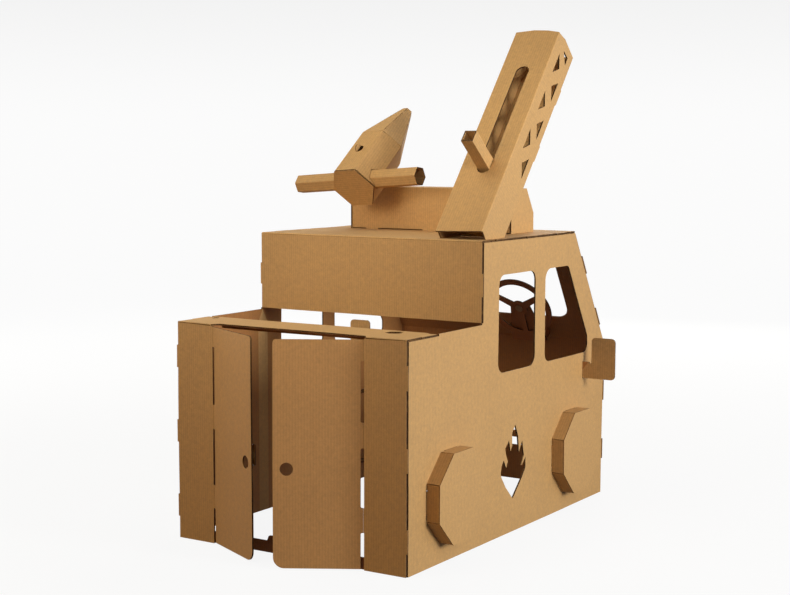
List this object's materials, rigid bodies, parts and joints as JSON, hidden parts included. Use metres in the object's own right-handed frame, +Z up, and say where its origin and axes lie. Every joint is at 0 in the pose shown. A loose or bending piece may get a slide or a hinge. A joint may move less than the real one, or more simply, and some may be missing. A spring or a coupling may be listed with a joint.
{
  "type": "cardboard toy fire truck",
  "caption": "Child's play fire truck of folded corrugated cardboard, with rear doors, cab windows, steering wheel, roof water gun and an inclined boom with a sliding lever.",
  "frame": {"origin": "on the floor, under the middle of the bounding box with the doors as they stand", "axes": "+X forward through the cab, +Y to the truck's left, +Z up"},
  "size_m": [1.2684, 0.954, 1.4135],
  "materials": {
    "kraft_board": "matt brown kraft liner on corrugated board",
    "inner_board": "matt brown kraft liner, darker inner parts"
  },
  "bodies": {
    "truck_body": {"right_side_panel": "kraft_board", "left_side_panel": "kraft_board", "rear_frame": "kraft_board", "door_sill": "inner_board", "roof_and_cab_back": "kraft_board", "windshield_and_front": "kraft_board", "steering_bracket": "inner_board", "rear_right_wheel": "kraft_board", "rear_left_wheel": "kraft_board", "front_right_wheel": "kraft_board", "front_left_wheel": "kraft_board", "right_mirror": "kraft_board", "left_mirror": "kraft_board", "base_box_cover": "kraft_board", "base_box_right_cheek": "kraft_board", "base_box_left_cheek": "kraft_board", "boom_shell": "kraft_board", "boom_underside": "kraft_board"},
    "right_door": {"right_rear_door": "kraft_board"},
    "left_door": {"left_rear_door": "kraft_board"},
    "steering": {"steering_wheel": "inner_board", "steering_pin": "inner_board"},
    "gun_turret": {"gun_yoke": "inner_board", "gun_post": "inner_board", "gun_post_collar": "inner_board"},
    "water_gun": {"gun_barrel": "kraft_board", "gun_rear_plate": "kraft_board", "gun_nose": "kraft_board", "gun_nose_tip": "kraft_board", "gun_sight": "kraft_board", "gun_handle_bar": "kraft_board", "gun_trunnion": "inner_board"},
    "lever": {"slide_lever": "kraft_board", "lever_slider": "inner_board"}
  },
  "joints": [
    {"name": "right_door_hinge", "type": "hinge", "parent": "truck_body", "child": "right_door", "pos_m": [-0.51975, -0.24, 0.3], "axis": [0, 0, 1], "range_deg": [-30, 100]},
    {"name": "left_door_hinge", "type": "hinge", "parent": "truck_body", "child": "left_door", "pos_m": [-0.51975, 0.244, 0.3], "axis": [0, 0, -1], "range_deg": [-26, 104]},
    {"name": "steering_spin", "type": "hinge", "parent": "truck_body", "child": "steering", "pos_m": [0.51933, -0.134, 0.57545], "axis": [0.8525, 0, 0.5227], "continuous": true},
    {"name": "gun_yaw", "type": "hinge", "parent": "truck_body", "child": "gun_turret", "pos_m": [0.21496, 0.16462, 1.02402], "axis": [0.0037, 0.069, 0.9976], "range_deg": [-18, 18]},
    {"name": "gun_pitch", "type": "hinge", "parent": "gun_turret", "child": "water_gun", "pos_m": [0.19499, 0.16569, 1.02402], "axis": [0.0531, 0.9962, -0.0691], "range_deg": [-3, 33]},
    {"name": "lever_slide", "type": "slide", "parent": "truck_body", "child": "lever", "axis": [0.6293, 0, 0.7771], "range_m": [0, 0.32]}
  ]
}
